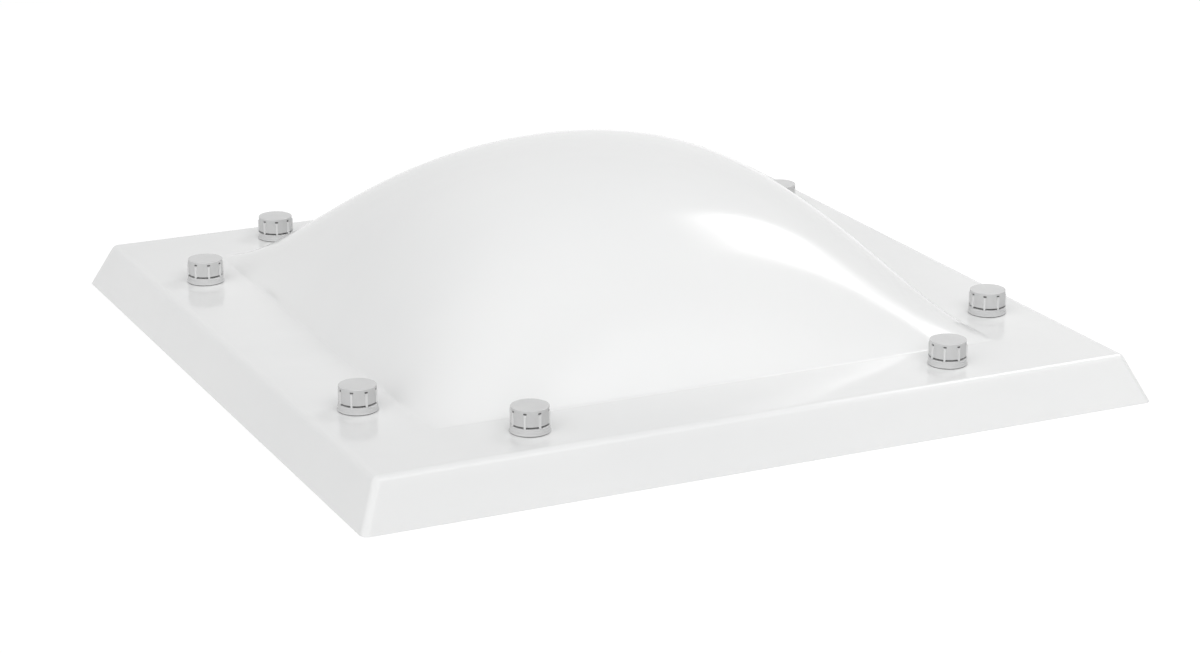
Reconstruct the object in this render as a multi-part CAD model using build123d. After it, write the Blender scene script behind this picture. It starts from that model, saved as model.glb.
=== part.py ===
from build123d import *
import math
import os

# Dome skylight: a blown acrylic shell with a flat flange and an outward skirt, and the capped
# screws that hold it down. Millimetres, +Z up, +X along the front side. The origin is the
# centre of the rim that the shell stands on.

# Flange round the dome, out to the edge where its top and the skirt would meet
flange_margin = 94.0
skirt_drop = 48.0
skirt_flare = 22.0
shell_wall = 3.5
edge_radius = 8.0

# Blown dome
dome_width = 620.0
dome_rise = 168.0
dome_fullness = 1.40
crown_wall = 3.0

# Edges of the patches that make up the dome's skin, as shares of its half width
patch_edges = (0.13, 0.40, 0.61, 0.82, 1.0)

# Fixing places, two on each side
fixing_from_dome = 42.5
fixing_spacing = 456.0

# Foam seal glued under the flange
seal_width = 25.0
seal_thickness = 5.0
seal_from_dome = 7.5

# Fixing screw
screw_diameter = 6.0
screw_end_height = 5.6
head_overhang = 2.0
head_height = 4.0

# Play round the screw's shank, in the sheet and in the cap base
sheet_play = 2.0
base_play = 1.2

# Cap base: a collar that the screw clamps down
base_diameter = 40.0
base_height = 7.6

# Screw cap: a ribbed cap with a hexagon socket that pushes over the screw's head
cap_setback = 1.5
cap_height = 18.4
rib_count = 8
rib_width = 2.2
rib_depth = 1.0
socket_play = 0.1
socket_headroom = 2.0

# Turn of each side about the middle of the dome, and of its two fixings about their screws
side_turns = {"front": 0, "right": 90, "back": 180, "left": 270}
fixing_turns = {"front": (6, 4), "right": (4, 44), "back": (20, 30), "left": (38, 6)}


def dome_height(a, b, c, d):
    """Polar form of (1 - t^2)(1 + (fullness - 1) t^2), the dome's height along one side."""
    extra = dome_fullness - 1
    pairs = a * b + a * c + a * d + b * c + b * d + c * d
    return 1 + (extra - 1) * pairs / 6 - extra * a * b * c * d


def height_poles(start, end):
    """Control heights of the stretch from start to end, where a side runs from -1 to 1."""
    return [dome_height(*([start] * (4 - late) + [end] * late)) for late in range(5)]


def dome_patch(half_width, foot, rise, x_span, y_span):
    """One patch of the dome's skin, which meets its neighbours tangentially."""
    def place(span, step):
        return half_width * (span[0] + (span[1] - span[0]) * step / 4)

    return Face.make_bezier_surface([
        [
            Vector(place(x_span, i), place(y_span, j), foot + rise * x_pole * y_pole)
            for i, x_pole in enumerate(height_poles(*x_span))
        ]
        for j, y_pole in enumerate(height_poles(*y_span))
    ])


def blister(half_width, foot, rise):
    """Solid between a blown skin and its flat square foot."""
    edges = [-edge for edge in reversed(patch_edges)] + list(patch_edges)
    spans = list(zip(edges, edges[1:]))
    skin = [dome_patch(half_width, foot, rise, xs, ys) for xs in spans for ys in spans]
    base = Pos(0, 0, foot) * Rectangle(2 * half_width, 2 * half_width)
    return Solid(Shell(skin + [base.face()]))


def skirted_block(rim_width, height, radius):
    """Block under a flat flange whose four sides flare out down to the rim."""
    lean = math.degrees(math.atan(skirt_flare / skirt_drop))
    block = extrude(Rectangle(rim_width, rim_width), height, taper=lean)
    rim = block.faces().sort_by(Axis.Z)[0]
    return fillet(block.edges() - rim.edges(), radius)


def shell_form(inset):
    """Outer form of the blown sheet, or, with its wall as the inset, the space under it."""
    side_inset = inset * math.hypot(1, skirt_flare / skirt_drop)
    rim_width = dome_width + 2 * (flange_margin + skirt_flare - side_inset)
    foot = skirt_drop - inset
    foot_slope = math.atan(4 * dome_rise * dome_fullness / dome_width)
    half_width = dome_width / 2 - inset * math.tan(foot_slope / 2)
    crown_inset = inset * crown_wall / shell_wall
    block = skirted_block(rim_width, foot, edge_radius - inset)
    return block + blister(half_width, foot, dome_rise + inset - crown_inset)


def fixing_places(side):
    """Where the two screws of a side go through the top of the flange."""
    reach = dome_width / 2 + fixing_from_dome
    for end, turn in zip((-1, 1), fixing_turns[side]):
        place = Pos(end * fixing_spacing / 2, -reach, skirt_drop)
        yield Rot(0, 0, side_turns[side]) * place * Rot(0, 0, turn)


def dome_shell():
    """Dome, flange and skirt in one sheet, drilled for the screws."""
    shell = shell_form(0) - shell_form(shell_wall)
    drill = Cylinder(screw_diameter / 2 + sheet_play, 4 * shell_wall)
    return shell - [place * drill for side in side_turns for place in fixing_places(side)]


def foam_strip():
    """Foam strip under the front of the flange, which ends against the next side's strip."""
    inner = dome_width / 2 + seal_from_dome
    outer = inner + seal_width
    corner = Align.MIN, Align.MIN, Align.MAX
    strip = Box(inner + outer, seal_width, seal_thickness, align=corner)
    return Pos(-outer, -outer, skirt_drop - shell_wall) * strip


def cap_base():
    """Round collar, bored for the screw."""
    bore = Circle(screw_diameter / 2 + base_play)
    return extrude(Circle(base_diameter / 2) - bore, base_height)


def hexagon(play):
    """Hexagon of the screw's head, or with play the socket that goes over it."""
    return RegularPolygon(screw_diameter / 2 + head_overhang + play, 6, major_radius=False)


def screw_cap():
    """Cap with upright ribs round its wall, standing on the base."""
    rib = Rectangle(2 * rib_depth, rib_width)
    radius = base_diameter / 2 - cap_setback
    ribs = [Rot(0, 0, 360 * i / rib_count) * Pos(radius, 0) * rib for i in range(rib_count)]
    body = extrude(Circle(radius) + ribs, cap_height)
    socket = extrude(hexagon(socket_play), head_height + socket_headroom)
    return Pos(0, 0, base_height) * (body - socket)


def fixing_screw():
    """Hexagon screw whose head bears on the base."""
    shank = extrude(Circle(screw_diameter / 2), screw_end_height - skirt_drop - base_height)
    head = extrude(hexagon(0), head_height)
    return Pos(0, 0, base_height) * (shank + head)


def side_pair(side, piece):
    """The two copies of a piece at the fixings of one side."""
    return Part() + [place * piece for place in fixing_places(side)]


parts = {"dome_shell": dome_shell()}
for side, turn in side_turns.items():
    parts[f"foam_seal_{side}"] = Rot(0, 0, turn) * foam_strip()
    parts[f"screw_caps_{side}"] = side_pair(side, screw_cap())
    parts[f"cap_bases_{side}"] = side_pair(side, cap_base())
    parts[f"fixing_screws_{side}"] = side_pair(side, fixing_screw())

os.makedirs("parts", exist_ok=True)
for name, part in parts.items():
    export_step(part, f"parts/{name}.step")
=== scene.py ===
import bmesh
import bpy
import math
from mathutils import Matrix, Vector


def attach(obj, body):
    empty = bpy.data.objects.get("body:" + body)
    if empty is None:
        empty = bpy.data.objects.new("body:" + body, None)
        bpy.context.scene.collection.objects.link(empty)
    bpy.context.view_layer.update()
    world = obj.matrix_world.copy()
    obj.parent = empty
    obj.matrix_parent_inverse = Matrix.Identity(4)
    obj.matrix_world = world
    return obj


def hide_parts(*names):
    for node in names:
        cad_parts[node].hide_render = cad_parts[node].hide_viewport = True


# Looks of the dome skylight: the acrylic sheet, eight capped fixings and the foam seal as meshes
# that take the place of the CAD nodes, their materials, and a plain studio. Meshes are worked out
# in millimetres, in the frame's own axes.

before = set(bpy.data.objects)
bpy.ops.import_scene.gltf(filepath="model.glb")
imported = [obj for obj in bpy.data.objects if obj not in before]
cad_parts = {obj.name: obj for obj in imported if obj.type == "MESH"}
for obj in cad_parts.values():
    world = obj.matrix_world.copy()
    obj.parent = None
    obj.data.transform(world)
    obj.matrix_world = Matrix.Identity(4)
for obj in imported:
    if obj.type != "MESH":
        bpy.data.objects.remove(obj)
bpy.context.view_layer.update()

MM = 0.001

# Sheet: blown dome, flat flange and flared skirt. INNER is the skin under the dome, and CREASE is
# how high the dome's foot is when it starts to ease into the flange.
DOME_HALF = 310.0
DOME_RISE = 168.0
INNER_HALF = 308.115
INNER_RISE = 168.5
FULLNESS = 0.40
FLANGE_TOP = 48.0
SHEET = 3.5
CREASE = 2.2
FLANGE_EDGE = 404.0
SKIRT_FLARE = 22.0
EDGE_RADIUS = 8.0
RIM_EASE = 0.7

# Segments round a corner of the skirt, over the bend at its top, and down the skirt
CORNER_STEPS = 12
BEND_STEPS = 8
SKIRT_STEPS = 6

# Section across the sheet's lower edge: share of the wall's thickness, and lift off the rim
RIM_SECTION = ((0.05, 0.3), (0.16, 0.05), (0.25, 0), (0.75, 0), (0.84, 0.05), (0.95, 0.3))

# Fixings. A window is the square round a screw's hole that the sheet's grid leaves open, and
# the slack is for telling whether a grid line lies on its edge.
FIXING_REACH = 352.5
FIXING_HALF_SPACING = 228.0
SHEET_HOLE = 5.0
HOLE_WINDOW = 12.0
WINDOW_SLACK = 0.1

# Name of each side, its turn, and the turns of its two caps about their screws
SIDES = (
    ("front", 0, (6, 4)),
    ("right", 90, (4, 44)),
    ("back", 180, (20, 30)),
    ("left", 270, (38, 6)),
)

# The core is a block with sharp edges, which the sheet's outside follows an edge radius away
SLOPE = SKIRT_FLARE / FLANGE_TOP
SIDE_NORMAL = Vector((0, -1, SLOPE)).normalized()
CORE_TOP = FLANGE_TOP - EDGE_RADIUS
CORE_HALF = FLANGE_EDGE + EDGE_RADIUS * SLOPE - EDGE_RADIUS / -SIDE_NORMAL.y

# Cap, with heights above the flange. It stands on its base, and a notch lies over each rib.
BASE_TOP = 7.6
RIBS = 8
RIB_PITCH = 360 / RIBS
RIB_HEIGHT = 1.0
RIB_TOP = 21.3
RIB_EDGE = (0.95, 1.3)
WALL_FOOT = 9.2
CAP_WALL = 18.5
CAP_SHOULDER = 25.3
NOTCH_MIDDLE = 22.2
NOTCH_DEPTH = 1.5
NOTCH_EDGE = (1.4, 1.7)
NOTCH_HALF_HEIGHT = (0.65, 0.9)
SOCKET_FLATS = 10.2
SOCKET_ROOF = 13.6

# Painted light and shade on the cap: how much of the ribs' lightness is painted on its wall and on
# its top, and how fast the painted shade in a recess deepens inwards
WALL_PAINTED_SHADE = 0.74
TOP_PAINTED_SHADE = 0.88
PAINTED_SHADE_FADE = 1.6

# Cap base and washer, as (radius, height above the flange)
BASE_PROFILE = (
    (4.2, 0.6), (19.3, 0.6), (19.7, 0.65), (19.95, 0.8), (20.0, 1.1), (19.95, 1.4), (19.7, 1.7),
    (19.5, 2.1), (19.42, 2.7), (19.4, 4.4), (19.35, 4.6), (19.12, 4.72), (19.1, 5.0),
    (19.1, 7.0), (19.0, 7.35), (18.75, 7.55), (18.4, BASE_TOP), (4.4, BASE_TOP), (4.2, 7.4),
)
WASHER_PROFILE = (
    (4.3, 0.0), (19.0, 0.0), (19.3, 0.08), (19.42, 0.3), (19.3, 0.52), (19.0, 0.6), (4.3, 0.6),
)
COLLAR_SEGMENTS = 96

# Screw, with heights above the flange. The thread falls from crest to root between the shares
# of its pitch that THREAD_FLANK gives.
SCREW_RADIUS = 3.0
SCREW_TIP = 5.6 - FLANGE_TOP
POINT_LENGTH = 7.0
THREAD_START = -6.0
THREAD_PITCH = 2.6
THREAD_DEPTH = 0.85
THREAD_FLANK = (0.06, 0.32)
SCREW_SEGMENTS = 24
RINGS_PER_PITCH = 8
HEAD_FLATS = 10.0
HEAD_ROUND = 5.75

# Foam seal. The section is (place across the strip, height over its underside), and the waves
# that sway it are (amount, length, phase).
SEAL_INNER = 317.5
SEAL_WIDTH = 25.0
SEAL_THICKNESS = 5.0
SEAL_STEPS = 132
SEAL_END_PLAY = 0.2
SEAL_END_INSET = 0.35
SEAL_WAVES = ((0.12, 23, 0), (0.08, 7.1, 2))
SEAL_SECTION = (
    (0, 0.5), (0.15, 0.15), (0.6, 0), (6, 0), (12.5, 0), (19, 0), (24.4, 0), (24.85, 0.15),
    (25, 0.5), (25.2, 2.5), (25, 4.6), (24.6, 5), (12.5, 5), (0.4, 5), (0, 4.6), (-0.2, 2.5),
)

# Studio, in metres and degrees. The floor shows the camera less of the light, and a glow instead.
FLOOR_HALF = 6.0
FLOOR_LIT = 0.80
FLOOR_SEEN = 0.32
FLOOR_GLOW = 0.78
GLOW_FADE = 3.0
CAMERA_PLACE = (-1.3345, -2.8410, 1.0449)
CAMERA_DOWN = 18.182
CAMERA_TURN = -25.351
CAMERA_LENS = 92.7


# ---- Materials ----

def link(tree, source, output, target, socket):
    """Joins one node's output to another's socket."""
    tree.links.new(source.outputs[output], target.inputs[socket])


def noise(tree, place, scale, detail):
    """Noise texture in the object's own coordinates, so many features a metre."""
    node = tree.nodes.new("ShaderNodeTexNoise")
    node.inputs["Scale"].default_value = scale
    node.inputs["Detail"].default_value = detail
    link(tree, place, "Object", node, "Vector")
    return node


def spread(tree, source, low, high):
    """The noise's middle range carried over to low..high."""
    node = tree.nodes.new("ShaderNodeMapRange")
    node.inputs["From Min"].default_value = 0.3
    node.inputs["From Max"].default_value = 0.7
    node.inputs["To Min"].default_value = low
    node.inputs["To Max"].default_value = high
    link(tree, source, "Fac", node, "Value")
    return node


def with_painted_shading(tree, tint, painted_recess_shade):
    """The tint with painted shade: darker in the recesses, and full, as painted light, on the
    crests.
    """
    painted_shading = tree.nodes.new("ShaderNodeAttribute")
    painted_shading.attribute_name = "painted_shading"
    shade = tree.nodes.new("ShaderNodeMapRange")
    shade.inputs["To Min"].default_value = painted_recess_shade
    link(tree, painted_shading, "Fac", shade, "Value")
    mixed = tree.nodes.new("ShaderNodeMix")
    mixed.data_type = "RGBA"
    mixed.blend_type = "MULTIPLY"
    mixed.inputs["Factor"].default_value = 1.0
    link(tree, tint, "Result", mixed, "A")
    link(tree, shade, "Result", mixed, "B")
    return mixed


def procedural(name, dark, light, patch, roughness, grain, bumps, painted_recess_shade=None, **fixed):
    """Material whose colour and roughness drift, with bumps of several sizes.

    patch and grain are features a metre, and bumps are (features a metre, height in metres).
    The argument after bumps, when given, is how dark the painted shade in the deepest recesses is,
    where the mesh gives each place its painted light or shade.
    fixed is for the shader's own sockets.
    """
    material = bpy.data.materials.new(name)
    material.use_nodes = True
    tree = material.node_tree
    shader = tree.nodes["Principled BSDF"]
    place = tree.nodes.new("ShaderNodeTexCoord")
    tint = tree.nodes.new("ShaderNodeMix")
    tint.data_type = "RGBA"
    tint.inputs["A"].default_value = (*dark, 1)
    tint.inputs["B"].default_value = (*light, 1)
    link(tree, spread(tree, noise(tree, place, patch, 3), 0, 1), "Result", tint, "Factor")
    # Painted shade in the recesses and painted light on the crests, from the mesh's attribute
    if painted_recess_shade is not None:
        tint = with_painted_shading(tree, tint, painted_recess_shade)
    link(tree, tint, "Result", shader, "Base Color")
    gloss = spread(tree, noise(tree, place, grain, 4), *roughness)
    link(tree, gloss, "Result", shader, "Roughness")
    before = None
    for scale, height in bumps:
        bump = tree.nodes.new("ShaderNodeBump")
        bump.inputs["Distance"].default_value = height
        link(tree, noise(tree, place, scale, 2), "Fac", bump, "Height")
        if before:
            link(tree, before, "Normal", bump, "Normal")
        before = bump
    link(tree, before, "Normal", shader, "Normal")
    for socket, value in fixed.items():
        shader.inputs[socket].default_value = value
    return material


acrylic = procedural(
    "opal_acrylic", dark=(0.865, 0.87, 0.87), light=(0.90, 0.903, 0.90), patch=3.0,
    roughness=(0.10, 0.14), grain=25.0, bumps=((7.0, 0.0010), (60.0, 0.00006)), IOR=1.49,
)
# The caps' colour carries painted light on the ribs and painted shade on the wall, the top and in
# the recesses
cap_plastic = procedural(
    "cap_plastic", dark=(0.70, 0.702, 0.705), light=(0.74, 0.742, 0.74), patch=30.0,
    roughness=(0.14, 0.22), grain=300.0, bumps=((60.0, 0.00006), (700.0, 0.000004)),
    painted_recess_shade=0.3, IOR=1.49,
)
base_plastic = procedural(
    "base_plastic", dark=(0.60, 0.602, 0.605), light=(0.65, 0.652, 0.65), patch=30.0,
    roughness=(0.18, 0.26), grain=300.0, bumps=((60.0, 0.00006), (700.0, 0.000004)), IOR=1.49,
)
foam = procedural(
    "seal_foam", dark=(0.010, 0.010, 0.011), light=(0.022, 0.022, 0.023), patch=60.0,
    roughness=(0.85, 1.0), grain=500.0, bumps=((150.0, 0.0006), (900.0, 0.0005)),
)
rubber = procedural(
    "washer_rubber", dark=(0.10, 0.10, 0.10), light=(0.14, 0.14, 0.14), patch=80.0,
    roughness=(0.55, 0.75), grain=500.0, bumps=((200.0, 0.0001), (900.0, 0.00003)),
)
steel = procedural(
    "screw_steel", dark=(0.50, 0.51, 0.52), light=(0.62, 0.62, 0.62), patch=120.0,
    roughness=(0.25, 0.42), grain=700.0, bumps=((150.0, 0.0001), (1200.0, 0.00003)),
    Metallic=1.0,
)


# ---- Mesh building ----

class Surface:
    """Points and faces of one piece. Points are given in millimetres."""

    def __init__(self):
        self.points = []
        self.faces = []

    def point(self, place):
        self.points.append(tuple(value * MM for value in place))
        return len(self.points) - 1

    def ring(self, places):
        return [self.point(place) for place in places]

    def face(self, corners, turned=False):
        """Face round the corners, without the sides that have no length."""
        kept = [c for i, c in enumerate(corners) if c != corners[i - 1]]
        if len(kept) > 2:
            self.faces.append(tuple(reversed(kept)) if turned else tuple(kept))

    def band(self, first, second, turned=False):
        """Faces between two closed rings of as many points."""
        for i in range(len(first)):
            self.face((first[i - 1], first[i], second[i], second[i - 1]), turned)

    def loft(self, rings, turned=False):
        """Faces from each ring to the next."""
        for first, second in zip(rings, rings[1:]):
            self.band(first, second, turned)

    def closed_loft(self, rings):
        """Loft with a face across each end."""
        self.loft(rings)
        self.face(rings[0])
        self.face(rings[-1])

    def piece(self, name, material, slot, sharp, replaced=None):
        """Object on the root body, smooth up to the sharp angle in degrees."""
        mesh = bpy.data.meshes.new(name)
        mesh.from_pydata(self.points, [], self.faces)
        work = bmesh.new()
        work.from_mesh(mesh)
        bmesh.ops.recalc_face_normals(work, faces=work.faces)
        work.to_mesh(mesh)
        work.free()
        mesh.polygons.foreach_set("use_smooth", [True] * len(mesh.polygons))
        mesh.set_sharp_from_angle(angle=math.radians(sharp))
        mesh.materials.append(material)
        piece = bpy.data.objects.new(name, mesh)
        bpy.context.scene.collection.objects.link(piece)
        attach(piece, "root")
        if replaced:
            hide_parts(replaced)
        return piece


def turned(place, degrees):
    """A place turned about the vertical through the middle of the dome."""
    angle = math.radians(degrees)
    x, y, z = place
    return (
        x * math.cos(angle) - y * math.sin(angle),
        x * math.sin(angle) + y * math.cos(angle),
        z,
    )


def eased(value, full, none):
    """1 on the full side, 0 past none, with a smooth ramp between."""
    t = min(max((none - value) / (none - full), 0), 1)
    return t * t * (3 - 2 * t)


# ---- The sheet ----

def share(t):
    """The dome's height along one side, from 1 in the middle to 0 at the clamp line."""
    return (1 - t * t) * (1 + FULLNESS * t * t)


def blown(x, y, half, rise):
    """Height of the blown skin over the flange, eased into it at the crease."""
    across, along = share(x / half), share(y / half)
    height = rise * min(across, along) * max(across, along, 0)
    ease = CREASE * max(across, along, 0)
    if abs(height) < ease:
        return (height + ease) ** 2 / (4 * ease)
    return max(height, 0.0)


def spaced(stops):
    """Coordinates through the stops (place, cells up to it), and the same on the other side."""
    ahead = [0.0]
    for place, cells in stops:
        start = ahead[-1]
        ahead += [start + (place - start) * (i + 1) / cells for i in range(cells)]
    return [-place for place in reversed(ahead[1:])] + ahead


# Grid lines both ways, closer together at the crease and in the windows, whose edges lie on
# grid lines
grid = spaced((
    (FIXING_HALF_SPACING - HOLE_WINDOW, 36),
    (FIXING_HALF_SPACING + HOLE_WINDOW, 6),
    (DOME_HALF - 9, 10),
    (DOME_HALF + 5, 13),
    (FIXING_REACH - HOLE_WINDOW, 5),
    (FIXING_REACH + HOLE_WINDOW, 6),
    (CORE_HALF - 6, 5),
    (CORE_HALF, 4),
))
grid_steps = range(len(grid))


def fixing_places(turn):
    """Where the two screws of a side go through the top of the flange."""
    for along in (-FIXING_HALF_SPACING, FIXING_HALF_SPACING):
        yield turned((along, -FIXING_REACH, FLANGE_TOP), turn)


holes = [place for _, turn, _ in SIDES for place in fixing_places(turn)]


def in_hole_window(x, y, margin):
    """Whether a place lies further than the margin inside the window round a hole."""
    reach = HOLE_WINDOW - margin
    return any(abs(x - hole[0]) < reach and abs(y - hole[1]) < reach for hole in holes)


def corner_normals(turn):
    """Normals from one skirt to the next round the corner between them."""
    first = Vector(turned(SIDE_NORMAL, turn))
    last = Vector(turned(SIDE_NORMAL, turn + 90))
    return [first.slerp(last, i / CORNER_STEPS) for i in range(1, CORNER_STEPS)]


def rim_path():
    """(place on the core's outline, skirt normal there) once round the sheet."""
    path = []
    for _, turn, _ in SIDES:
        normal = Vector(turned(SIDE_NORMAL, turn))
        path += [(turned((x, -CORE_HALF, 0), turn), normal) for x in grid]
        corner = turned((CORE_HALF, -CORE_HALF, 0), turn)
        path += [(corner, normal) for normal in corner_normals(turn)]
    return path


def skirt_place(outline, normal, radius, height):
    """Place on the skirt at a height, for the skin whose edges are rounded to that radius."""
    core_z = height - radius * normal.z
    grown = 1 + (CORE_TOP - core_z) * SLOPE / CORE_HALF
    return Vector((outline[0] * grown, outline[1] * grown, core_z)) + radius * normal


def top_points(surface, half, rise, top):
    """Points of the dome and flange at the grid's crossings, apart from the windows."""
    points = {}
    for i in grid_steps:
        for j in grid_steps:
            x, y = grid[i], grid[j]
            if not in_hole_window(x, y, WINDOW_SLACK):
                points[i, j] = surface.point((x, y, top + blown(x, y, half, rise)))
    return points


def top_faces(surface, points, under):
    """Faces of the dome and flange, apart from the windows."""
    for i in grid_steps[1:]:
        for j in grid_steps[1:]:
            x, y = (grid[i] + grid[i - 1]) / 2, (grid[j] + grid[j - 1]) / 2
            if not in_hole_window(x, y, 0):
                corners = (points[i - 1, j - 1], points[i, j - 1], points[i, j], points[i - 1, j])
                surface.face(corners, under)


def hole_ring(surface, points, hole, top, under):
    """Fills a window up to the round hole in it, and gives the hole's ring."""
    x, y, _ = hole
    edge = sorted(
        (math.atan2(grid[j] - y, grid[i] - x), points[i, j])
        for i in grid_steps for j in grid_steps
        if abs(max(abs(grid[i] - x), abs(grid[j] - y)) - HOLE_WINDOW) < WINDOW_SLACK
    )
    ring = surface.ring(
        (x + SHEET_HOLE * math.cos(a), y + SHEET_HOLE * math.sin(a), top) for a, _ in edge
    )
    surface.band([corner for _, corner in edge], ring, under)
    return ring


def sheet_skin(surface, half, rise, radius, under):
    """One skin of the sheet from crown to rim. Gives its hole rings and its lowest ring."""
    top = CORE_TOP + radius
    points = top_points(surface, half, rise, top)
    top_faces(surface, points, under)
    hole_rings = [hole_ring(surface, points, hole, top, under) for hole in holes]
    path = rim_path()
    step_of = {round(place, 3): step for step, place in enumerate(grid)}
    rings = [[points[step_of[round(x, 3)], step_of[round(y, 3)]] for (x, y, _), _ in path]]
    up = Vector((0, 0, 1))
    for step in range(1, BEND_STEPS + 1):
        rings.append(surface.ring(
            Vector((x, y, CORE_TOP)) + radius * up.slerp(normal, step / BEND_STEPS)
            for (x, y, _), normal in path
        ))
    for step in range(1, SKIRT_STEPS + 1):
        down = step / SKIRT_STEPS
        rings.append(surface.ring(
            skirt_place(
                outline, normal, radius,
                (CORE_TOP + radius * normal.z) * (1 - down) + RIM_EASE * down,
            )
            for outline, normal in path
        ))
    surface.loft(rings, not under)
    return hole_rings, rings[-1]


def make_sheet():
    """Outer and inner skin, joined in the holes and along the rim."""
    surface = Surface()
    outer_holes, outer_rim = sheet_skin(surface, DOME_HALF, DOME_RISE, EDGE_RADIUS, False)
    inner_radius = EDGE_RADIUS - SHEET
    inner_holes, inner_rim = sheet_skin(surface, INNER_HALF, INNER_RISE, inner_radius, True)
    for outer, inner in zip(outer_holes, inner_holes):
        surface.band(outer, inner)
    rings = [outer_rim]
    for part, lift in RIM_SECTION:
        rings.append(surface.ring(
            skirt_place(outline, normal, EDGE_RADIUS, 0).lerp(
                skirt_place(outline, normal, inner_radius, 0), part
            ) + Vector((0, 0, lift))
            for outline, normal in rim_path()
        ))
    surface.loft(rings + [inner_rim], True)
    surface.piece("skylight_sheet", acrylic, "opal_acrylic", 40, "dome_shell")


# ---- Caps, bases, washers and screws ----

def round_rings(surface, place, angles, profile):
    """Rings round a fixing, from (radius or rule, height).

    A rule gives the radius at an angle and a height. place is where the screw goes through the
    flange, and the turn about it.
    """
    x, y, foot, turn = place
    rings = []
    for radius, z in profile:
        reaches = [radius(a, z) if callable(radius) else radius for a in angles]
        rings.append(surface.ring(
            (x + reach * math.cos(a + turn), y + reach * math.sin(a + turn), foot + z)
            for a, reach in zip(angles, reaches)
        ))
    return rings


def even_angles(count):
    return [2 * math.pi * i / count for i in range(count)]


def cap_angles():
    """Angles round a cap, closer together at each rib."""
    after = (2.4, 2.9, 3.4, 3.8, 4.2, 4.6, 5.0, 5.4, 6.0)
    near = [-a for a in reversed(after)] + [0, *after]
    between = [10, 16, 22.5, 29, 35]
    return [math.radians(rib * RIB_PITCH + a) for rib in range(RIBS) for a in near + between]


def across_rib(angle):
    """Distance along the wall to the nearest rib's middle."""
    turn = math.degrees(angle) % RIB_PITCH
    return math.radians(min(turn, RIB_PITCH - turn)) * CAP_WALL


def wall_radius(angle, z):
    """Cap wall with its ribs and the notch over each rib."""
    off = across_rib(angle)
    rib = RIB_HEIGHT * eased(off, *RIB_EDGE) * eased(z, RIB_TOP - 0.3, RIB_TOP)
    notch = NOTCH_DEPTH * eased(off, *NOTCH_EDGE) * eased(abs(z - NOTCH_MIDDLE), *NOTCH_HALF_HEIGHT)
    return CAP_WALL + rib - notch


def groove(base):
    """Rule for a recessed wall under the cap, bridged by the feet of the ribs."""
    def radius(angle, _):
        return base + (CAP_WALL + RIB_HEIGHT - base) * eased(across_rib(angle), *RIB_EDGE)
    return radius


def hexagon(across_flats):
    """Rule for a hexagon."""
    def radius(angle, _):
        sixth = math.radians(60)
        return across_flats / 2 / math.cos((angle + sixth / 2) % sixth - sixth / 2)
    return radius


def painted_shading_at(radius, z):
    """Painted light and shade at a place on the cap, from 1 on the ribs, painted lighter, to 0 deep
    in the recesses, painted full shade.
    """
    if radius > CAP_WALL + 0.1:
        return 1.0
    if z > CAP_SHOULDER:
        return TOP_PAINTED_SHADE
    if z >= WALL_FOOT + 0.05 and radius >= CAP_WALL - 0.2:
        return WALL_PAINTED_SHADE
    if z > WALL_FOOT + 0.3:
        return max(0.0, 1 - PAINTED_SHADE_FADE * (CAP_WALL - radius))
    return 0.0


def make_cap(name, place, replaced):
    """Cap from the roof of its socket, under its foot and up the wall to the crown."""
    surface = Surface()
    profile = [
        (0.5, SOCKET_ROOF), (hexagon(SOCKET_FLATS), SOCKET_ROOF), (hexagon(SOCKET_FLATS), BASE_TOP),
        (15.2, BASE_TOP), (groove(15.4), BASE_TOP), (groove(15.4), BASE_TOP + 0.15),
        (groove(15.6), 8.9), (groove(18.0), WALL_FOOT), (groove(18.3), WALL_FOOT + 0.1),
    ]
    profile += [(wall_radius, z) for z in (
        9.5, 9.7, 11, 14, 17, 19.5, 20.8, 21, 21.1, 21.2, 21.3, 21.4, 21.5, 21.8,
        22.2, 22.6, 22.9, 23.0, 23.1, 23.2, 23.5, 24.2, 24.9,
    )]
    profile += [
        (18.42, 25.15), (18.25, 25.35), (18.0, 25.48), (17.6, 25.55),
        (17.0, 25.6), (14.0, 25.78), (9.0, 25.93), (4.0, 25.99), (0.5, 26.0),
    ]
    surface.closed_loft(round_rings(surface, place, cap_angles(), profile))
    piece = surface.piece(name, cap_plastic, "cap_plastic", 50, replaced)
    # Painted light and shade: each point gets how light its colour is painted, lightest on the ribs
    # and darkest deep in the recesses
    painted_shading = piece.data.attributes.new("painted_shading", "FLOAT", "POINT")
    for spot, (x, y, z) in zip(painted_shading.data, surface.points):
        x, y, z = x / MM - place[0], y / MM - place[1], z / MM - place[2]
        spot.value = painted_shading_at(math.hypot(x, y), z)


def revolved(place, profile):
    """Closed ring of material, turned round the screw from a profile of (radius, height)."""
    surface = Surface()
    rings = round_rings(surface, place, even_angles(COLLAR_SEGMENTS), profile)
    surface.loft(rings + rings[:1], True)
    return surface


def make_screw(name, place, replaced):
    """Hexagon head, plain neck, thread and point."""
    surface = Surface()

    def thread(angle, z):
        turn = (z / THREAD_PITCH + angle / (2 * math.pi)) % 1
        valley = 1 - eased(abs(turn - 0.5), *THREAD_FLANK)
        body = SCREW_RADIUS - THREAD_DEPTH * valley * eased(z, THREAD_START - 2, THREAD_START)
        return max(body * min((z - SCREW_TIP) / POINT_LENGTH, 1) ** 0.7, 0.02)

    def head(inset):
        return lambda a, z: min(hexagon(HEAD_FLATS)(a, z), HEAD_ROUND - inset)

    length = THREAD_START - SCREW_TIP
    count = int(length / THREAD_PITCH * RINGS_PER_PITCH)
    profile = [(thread, SCREW_TIP + length * i / count) for i in range(count + 1)]
    profile += [
        (SCREW_RADIUS, -2.0), (SCREW_RADIUS, BASE_TOP), (head(0.35), BASE_TOP), (head(0), 7.8),
        (head(0), 11.2), (head(0.5), 11.5), (4.6, 11.6), (0.02, 11.6),
    ]
    surface.closed_loft(round_rings(surface, place, even_angles(SCREW_SEGMENTS), profile))
    surface.piece(name, steel, "screw_steel", 40, replaced)


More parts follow.
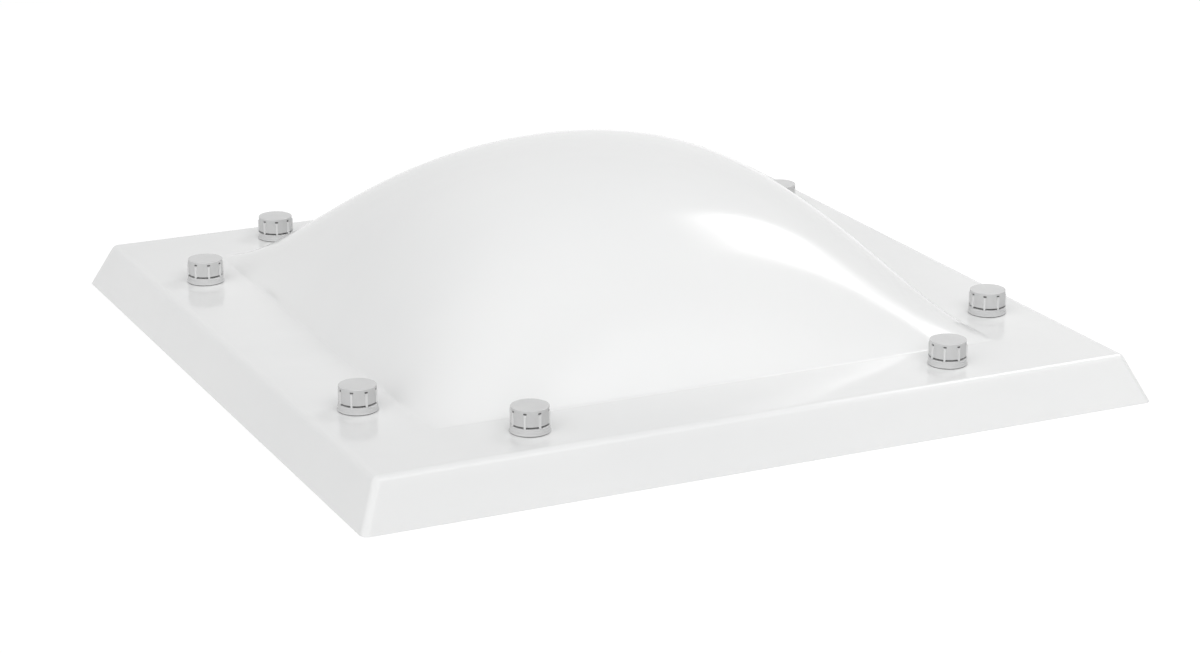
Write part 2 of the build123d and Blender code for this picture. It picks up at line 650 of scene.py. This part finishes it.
def make_fixings():
    """Cap, base, washer and screw at each of the eight places."""
    for side, turn, cap_turns in SIDES:
        for hand, (x, y, z), cap_turn in zip("ab", fixing_places(turn), cap_turns):
            place = (x, y, z, math.radians(turn + cap_turn))
            make_cap(f"screw_cap_{side}_{hand}", place, f"screw_caps_{side}")
            revolved(place, BASE_PROFILE).piece(
                f"cap_base_{side}_{hand}", base_plastic, "cap_plastic", 50, f"cap_bases_{side}"
            )
            revolved(place, WASHER_PROFILE).piece(
                f"washer_{side}_{hand}", rubber, "seal_foam", 50
            )
            make_screw(f"fixing_screw_{side}_{hand}", place, f"fixing_screws_{side}")


# ---- Foam seal ----

def make_seal(side, turn):
    """Foam strip whose edges are soft and whose faces are a little uneven."""
    surface = Surface()
    outer = SEAL_INNER + SEAL_WIDTH
    start, end = -outer + SEAL_END_PLAY, SEAL_INNER - SEAL_END_PLAY
    underside = FLANGE_TOP - SHEET - SEAL_THICKNESS
    rings = []
    for step in range(SEAL_STEPS + 1):
        x = start + (end - start) * step / SEAL_STEPS
        sway = sum(size * math.sin(x / length + phase) for size, length, phase in SEAL_WAVES)
        inset = SEAL_END_INSET if step in (0, SEAL_STEPS) else 0
        places = []
        for across, up in SEAL_SECTION:
            lower = 1 - up / SEAL_THICKNESS
            inwards = 1 if across < SEAL_WIDTH / 2 else -1
            y = -outer + across + sway * lower + inset * inwards
            z = underside + up + abs(sway) * lower * 0.5 + inset * lower
            places.append(turned((x, y, z), turn))
        rings.append(surface.ring(places))
    surface.closed_loft(rings)
    piece = surface.piece(f"seal_strip_{side}", foam, "seal_foam", 50, f"foam_seal_{side}")


make_sheet()
make_fixings()
for side, turn, _ in SIDES:
    make_seal(side, turn)


# ---- Floor, light and camera ----

def calculate(tree, operation, first, second):
    """Math node of two inputs, each of them a number or another node's output."""
    node = tree.nodes.new("ShaderNodeMath")
    node.operation = operation
    for socket, value in zip(node.inputs, (first, second)):
        if isinstance(value, float):
            socket.default_value = value
        else:
            tree.links.new(value, socket)
    return node.outputs["Value"]


def white_to_eye(tree):
    """1 for camera, glossy and transmission rays, and 0 for the light they leave behind."""
    path = tree.nodes.new("ShaderNodeLightPath")
    seen = calculate(tree, "MAXIMUM", path.outputs["Is Camera Ray"], path.outputs["Is Glossy Ray"])
    return calculate(tree, "MAXIMUM", seen, path.outputs["Is Transmission Ray"])


def make_floor():
    """Floor that shows white and keeps the object's shadow."""
    mesh = bpy.data.meshes.new("floor")
    half = FLOOR_HALF
    corners = [(-half, -half, 0), (half, -half, 0), (half, half, 0), (-half, half, 0)]
    mesh.from_pydata(corners, [], [(0, 1, 2, 3)])
    floor = bpy.data.objects.new("floor", mesh)
    bpy.context.scene.collection.objects.link(floor)
    material = bpy.data.materials.new("floor_white")
    material.use_nodes = True
    tree = material.node_tree
    shader = tree.nodes["Principled BSDF"]
    shader.inputs["Roughness"].default_value = 1.0
    shader.inputs["Specular IOR Level"].default_value = 0.0
    seen = white_to_eye(tree)
    colour = tree.nodes.new("ShaderNodeMix")
    colour.data_type = "RGBA"
    colour.inputs["A"].default_value = (FLOOR_LIT, FLOOR_LIT, FLOOR_LIT, 1)
    colour.inputs["B"].default_value = (FLOOR_SEEN, FLOOR_SEEN, FLOOR_SEEN, 1)
    tree.links.new(seen, colour.inputs["Factor"])
    link(tree, colour, "Result", shader, "Base Color")
    shader.inputs["Emission Color"].default_value = (1, 1, 1, 1)
    glow = calculate(tree, "MULTIPLY", seen, FLOOR_GLOW)
    tree.links.new(glow, shader.inputs["Emission Strength"])
    mesh.materials.append(material)


def toward(azimuth, elevation):
    """Direction from the object to a place round it."""
    a, e = math.radians(azimuth), math.radians(elevation)
    return Vector((math.cos(e) * math.cos(a), math.cos(e) * math.sin(a), math.sin(e)))


def make_world(even, azimuth, elevation, glow):
    """White surroundings, whose light is even apart from a wide soft glow on one side."""
    world = bpy.data.worlds.new("studio")
    bpy.context.scene.world = world
    world.use_nodes = True
    tree = world.node_tree
    back = tree.nodes["Background"]
    back.inputs["Color"].default_value = (1, 1, 1, 1)
    spot = tree.nodes.new("ShaderNodeTexCoord")
    facing = tree.nodes.new("ShaderNodeVectorMath")
    facing.operation = "DOT_PRODUCT"
    facing.inputs[1].default_value = toward(azimuth, elevation)
    link(tree, spot, "Generated", facing, 0)
    near = calculate(tree, "MAXIMUM", facing.outputs["Value"], 0.0)
    glowing = calculate(tree, "MULTIPLY", calculate(tree, "POWER", near, GLOW_FADE), glow)
    strength = tree.nodes.new("ShaderNodeMapRange")
    tree.links.new(calculate(tree, "ADD", glowing, even), strength.inputs["To Min"])
    strength.inputs["To Max"].default_value = 1.0
    tree.links.new(white_to_eye(tree), strength.inputs["Value"])
    link(tree, strength, "Result", back, "Strength")


def fade_edges(lamp, margins):
    """Lets a panel fade towards its edges, over these shares of its half width and height."""
    lamp.use_nodes = True
    tree = lamp.node_tree
    spot = tree.nodes.new("ShaderNodeNewGeometry")
    split = tree.nodes.new("ShaderNodeSeparateXYZ")
    link(tree, spot, "Parametric", split, "Vector")
    strength = 1.0
    for axis, margin in zip("XY", margins):
        offset = calculate(tree, "SUBTRACT", split.outputs[axis], 0.5)
        fade = tree.nodes.new("ShaderNodeMapRange")
        fade.interpolation_type = "SMOOTHSTEP"
        fade.inputs["From Min"].default_value = 0.5
        fade.inputs["From Max"].default_value = 0.5 - margin / 2
        tree.links.new(calculate(tree, "ABSOLUTE", offset, 0.0), fade.inputs["Value"])
        strength = calculate(tree, "MULTIPLY", strength, fade.outputs["Result"])
    tree.links.new(strength, tree.nodes["Emission"].inputs["Strength"])


def make_lamp(name, azimuth, elevation, distance, width, height, level, margins):
    """Soft panel that faces the object. Its level is its brightness, where 1 is white."""
    lamp = bpy.data.lights.new(name, "AREA")
    lamp.shape = "RECTANGLE"
    lamp.size = width
    lamp.size_y = height
    lamp.energy = level * math.pi * width * height
    fade_edges(lamp, margins)
    panel = bpy.data.objects.new(name, lamp)
    away = toward(azimuth, elevation)
    panel.location = away * distance
    panel.rotation_euler = away.to_track_quat("Z", "Y").to_euler()
    bpy.context.scene.collection.objects.link(panel)


def make_camera():
    """Camera at the photograph's viewing angle."""
    camera = bpy.data.cameras.new("camera")
    camera.sensor_width = 36.0
    camera.lens = CAMERA_LENS
    camera.clip_start = 0.05
    camera.clip_end = 50.0
    eye = bpy.data.objects.new("camera", camera)
    eye.location = CAMERA_PLACE
    eye.rotation_euler = (math.radians(90 - CAMERA_DOWN), 0, math.radians(CAMERA_TURN))
    bpy.context.scene.collection.objects.link(eye)
    bpy.context.scene.camera = eye


make_floor()
make_world(even=0.2, azimuth=-142, elevation=40, glow=1.45)
make_lamp(
    "side_panel", azimuth=10, elevation=49, distance=2.66, width=1.15, height=1.5,
    level=5.7, margins=(0.5, 0.9),
)
make_lamp(
    "front_panel", azimuth=-82, elevation=46, distance=4.0, width=5.0, height=3.6,
    level=2.0, margins=(0.9, 0.9),
)
make_camera()
bpy.context.scene.view_settings.view_transform = "Standard"
